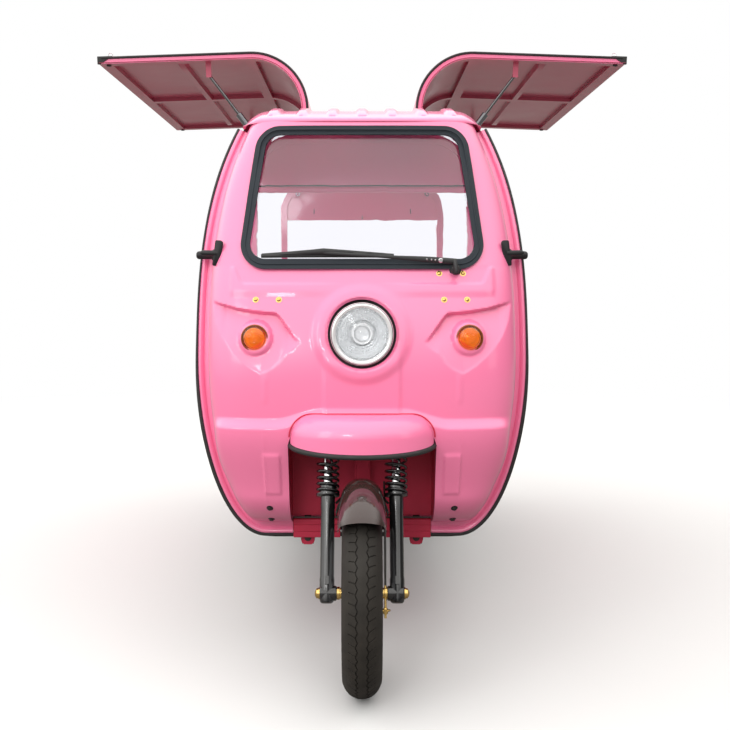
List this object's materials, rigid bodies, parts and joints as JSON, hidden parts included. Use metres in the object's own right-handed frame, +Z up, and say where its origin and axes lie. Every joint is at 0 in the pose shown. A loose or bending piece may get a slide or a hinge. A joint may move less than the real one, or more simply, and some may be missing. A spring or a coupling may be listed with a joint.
{
  "type": "electric food trike",
  "caption": "Electric food trike with one steered front wheel, an open cab and a vending box whose side hatches lift on gas struts.",
  "frame": {"origin": "on the ground, under the middle of the outer box", "axes": "+Z up, the front faces -Y, +X is on the viewer's right when the trike is seen from the front"},
  "size_m": [1.7602, 2.8, 1.79],
  "materials": {
    "pink_paint": "gloss",
    "pink_panel": "gloss",
    "frame_black": "satin",
    "floor_plate": "brushed",
    "black_rubber": "matte",
    "glass": "gloss",
    "lens": "gloss",
    "amber": "gloss",
    "red_lens": "gloss",
    "white_trim": "gloss",
    "black_plastic": "matte",
    "smoke_plastic": "gloss",
    "fork_black": "satin",
    "chrome": "polished",
    "axle_steel": "zinc plated",
    "rim_alloy": "satin",
    "tyre": "matte",
    "seat_vinyl": "soft sheen",
    "battery_case": "matte",
    "plate_white": "satin"
  },
  "bodies": {
    "chassis": {"chassis_rails": "frame_black", "steering_neck": "frame_black", "rear_bumper": "frame_black", "cab_floor": "pink_paint", "wheel_well": "pink_paint", "front_shell": "pink_panel", "rubber_edging": "black_rubber", "nose_hood": "pink_panel", "windscreen_seal": "black_rubber", "windscreen": "glass", "headlight_bezel": "white_trim", "headlight_lens": "lens", "turn_signals": "amber", "wiper": "black_plastic", "mirror_mounts": "black_plastic", "cab_roof": "pink_panel", "front_arch": "pink_paint", "rear_arch": "pink_paint", "header_panels": "pink_panel", "bulkhead": "pink_panel", "cargo_floor": "floor_plate", "side_panel_left": "pink_panel", "side_panel_right": "pink_panel", "rear_skirt": "pink_panel", "tail_lights": "red_lens", "number_plate": "plate_white", "roof_strip": "pink_panel", "seat_base": "pink_panel", "battery_pack": "battery_case", "seat_cushion": "seat_vinyl", "seat_backrest": "seat_vinyl", "brake_pedal": "black_plastic", "rear_axle": "frame_black", "leaf_springs": "frame_black", "rear_mudguards": "black_plastic"},
    "steering": {"fork_sliders": "fork_black", "fork_springs": "fork_black", "steering_stem": "chrome", "front_axle": "axle_steel", "front_mudguard": "smoke_plastic", "handlebar": "frame_black", "handlebar_grips": "black_rubber"},
    "front_wheel": {"front_tyre": "tyre", "front_rim": "rim_alloy"},
    "rear_wheel_left": {"rear_left_tyre": "tyre", "rear_left_rim": "rim_alloy"},
    "rear_wheel_right": {"rear_right_tyre": "tyre", "rear_right_rim": "rim_alloy"},
    "hatch_left": {"hatch_left": "pink_panel"},
    "hatch_right": {"hatch_right": "pink_panel"},
    "rear_door": {"rear_door": "pink_panel"},
    "strut_tube_front_right": {"strut_tube_front_right": "frame_black"},
    "strut_rod_front_right": {"strut_rod_front_right": "chrome"},
    "strut_tube_front_left": {"strut_tube_front_left": "frame_black"},
    "strut_rod_front_left": {"strut_rod_front_left": "chrome"},
    "strut_tube_rear_right": {"strut_tube_rear_right": "frame_black"},
    "strut_rod_rear_right": {"strut_rod_rear_right": "chrome"},
    "strut_tube_rear_left": {"strut_tube_rear_left": "frame_black"},
    "strut_rod_rear_left": {"strut_rod_rear_left": "chrome"}
  },
  "joints": [
    {"name": "steering_turn", "type": "hinge", "parent": "chassis", "child": "steering", "pos_m": [0, -1.15, 0.25], "axis": [0, 0.3746, 0.9272], "range_deg": [-32, 32]},
    {"name": "front_wheel_spin", "type": "hinge", "parent": "steering", "child": "front_wheel", "pos_m": [0, -1.15, 0.25], "axis": [1, 0, 0], "continuous": true},
    {"name": "rear_wheel_left_spin", "type": "hinge", "parent": "chassis", "child": "rear_wheel_left", "pos_m": [-0.36, 0.85, 0.25], "axis": [1, 0, 0], "continuous": true},
    {"name": "rear_wheel_right_spin", "type": "hinge", "parent": "chassis", "child": "rear_wheel_right", "pos_m": [0.36, 0.85, 0.25], "axis": [1, 0, 0], "continuous": true},
    {"name": "rear_door_swing", "type": "hinge", "parent": "chassis", "child": "rear_door", "pos_m": [-0.3548, 1.376, 0.7], "axis": [0, 0, 1], "range_deg": [0, 105]},
    {"name": "hatch_right_lid", "type": "hinge", "parent": "chassis", "child": "hatch_right", "pos_m": [0.17, 0.62, 1.552], "axis": [0, 1, 0], "range_deg": [0, 88]},
    {"name": "hatch_left_lid", "type": "hinge", "parent": "chassis", "child": "hatch_left", "pos_m": [-0.17, 0.62, 1.552], "axis": [0, -1, 0], "range_deg": [0, 88]},
    {"name": "strut_tube_front_right_pivot", "type": "hinge", "parent": "chassis", "child": "strut_tube_front_right", "pos_m": [0.30501, -0.084, 1.44201], "axis": [0, 1, 0], "range_deg": [0, 131.74]},
    {"name": "strut_rod_front_right_slide", "type": "slide", "parent": "strut_tube_front_right", "child": "strut_rod_front_right", "axis": [0.6065, 0, 0.7951], "range_m": [-0.1148, 0]},
    {"name": "strut_tube_front_left_pivot", "type": "hinge", "parent": "chassis", "child": "strut_tube_front_left", "pos_m": [-0.30501, -0.084, 1.44201], "axis": [0, -1, 0], "range_deg": [0, 131.74]},
    {"name": "strut_rod_front_left_slide", "type": "slide", "parent": "strut_tube_front_left", "child": "strut_rod_front_left", "axis": [-0.6065, 0, 0.7951], "range_m": [-0.1148, 0]},
    {"name": "strut_tube_rear_right_pivot", "type": "hinge", "parent": "chassis", "child": "strut_tube_rear_right", "pos_m": [0.30501, 1.324, 1.44201], "axis": [0, 1, 0], "range_deg": [0, 131.74]},
    {"name": "strut_rod_rear_right_slide", "type": "slide", "parent": "strut_tube_rear_right", "child": "strut_rod_rear_right", "axis": [0.6065, 0, 0.7951], "range_m": [-0.1148, 0]},
    {"name": "strut_tube_rear_left_pivot", "type": "hinge", "parent": "chassis", "child": "strut_tube_rear_left", "pos_m": [-0.30501, 1.324, 1.44201], "axis": [0, -1, 0], "range_deg": [0, 131.74]},
    {"name": "strut_rod_rear_left_slide", "type": "slide", "parent": "strut_tube_rear_left", "child": "strut_rod_rear_left", "axis": [-0.6065, 0, 0.7951], "range_m": [-0.1148, 0]}
  ],
  "couplings": [
    {"joint": "strut_tube_front_right_pivot", "follows": "hatch_right_lid", "ratio": 1.4959},
    {"joint": "strut_rod_front_right_slide", "follows": "hatch_right_lid", "m_per_rad": -0.074414},
    {"joint": "strut_tube_front_left_pivot", "follows": "hatch_left_lid", "ratio": 1.4959},
    {"joint": "strut_rod_front_left_slide", "follows": "hatch_left_lid", "m_per_rad": -0.074414},
    {"joint": "strut_tube_rear_right_pivot", "follows": "hatch_right_lid", "ratio": 1.4959},
    {"joint": "strut_rod_rear_right_slide", "follows": "hatch_right_lid", "m_per_rad": -0.074414},
    {"joint": "strut_tube_rear_left_pivot", "follows": "hatch_left_lid", "ratio": 1.4959},
    {"joint": "strut_rod_rear_left_slide", "follows": "hatch_left_lid", "m_per_rad": -0.074414}
  ]
}
